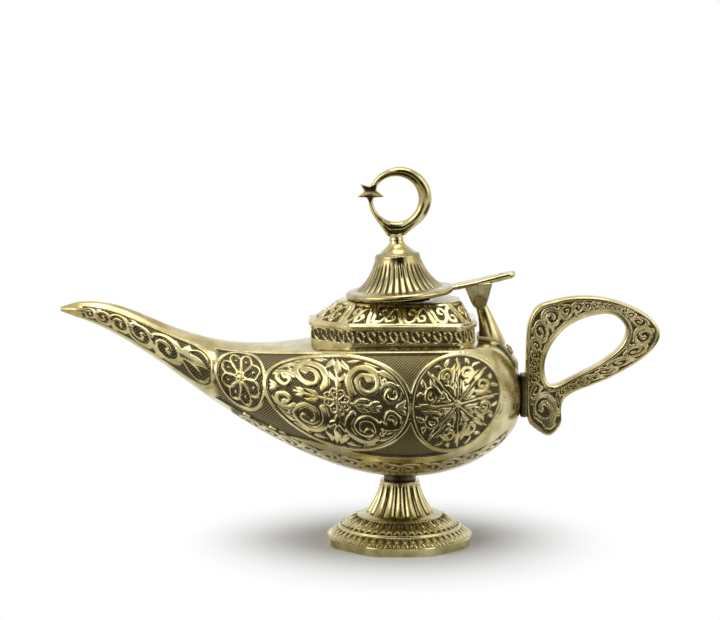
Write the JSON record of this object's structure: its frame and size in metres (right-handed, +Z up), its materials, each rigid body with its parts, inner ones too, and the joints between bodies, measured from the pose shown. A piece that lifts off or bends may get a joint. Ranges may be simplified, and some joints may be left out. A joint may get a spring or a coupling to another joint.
{
  "type": "genie oil lamp",
  "caption": "Boat-shaped cast brass oil lamp on a pedestal foot, with a rising spout, a loop handle and a fluted lid that opens on a rear hinge by its thumb lever.",
  "frame": {"origin": "centre of the foot on the surface that the lamp rests on", "axes": "+X towards the handle, the spout points to -X; +Z up; the lamp is symmetric about the XZ plane and its lid hinge turns about Y"},
  "size_m": [0.2488, 0.0818, 0.1576],
  "materials": {
    "cast_brass": "antique cast, polished on the high places and dark in the recesses",
    "turned_brass": "plain turned, dull",
    "rivet_brass": "peened, dark at the edges"
  },
  "bodies": {
    "lamp": {"foot": "cast_brass", "neck_ring": "cast_brass", "foot_bolt": "turned_brass", "foot_bolt_washer": "turned_brass", "foot_washer": "turned_brass", "foot_nut": "turned_brass", "body_front_half": "cast_brass", "body_back_half": "cast_brass", "collar": "cast_brass", "hinge_bracket": "cast_brass", "bracket_rivets": "rivet_brass", "hinge_pin": "rivet_brass", "handle": "cast_brass", "handle_screw": "turned_brass", "handle_washer": "turned_brass"},
    "lid": {"lid": "cast_brass", "finial_boss": "cast_brass", "finial": "cast_brass", "finial_washer": "turned_brass", "finial_nut": "turned_brass"}
  },
  "joints": [
    {"name": "lid_hinge", "type": "hinge", "parent": "lamp", "child": "lid", "pos_m": [0.0327, 0, 0.1023], "axis": [0, 1, 0], "range_deg": [0, 80]}
  ]
}
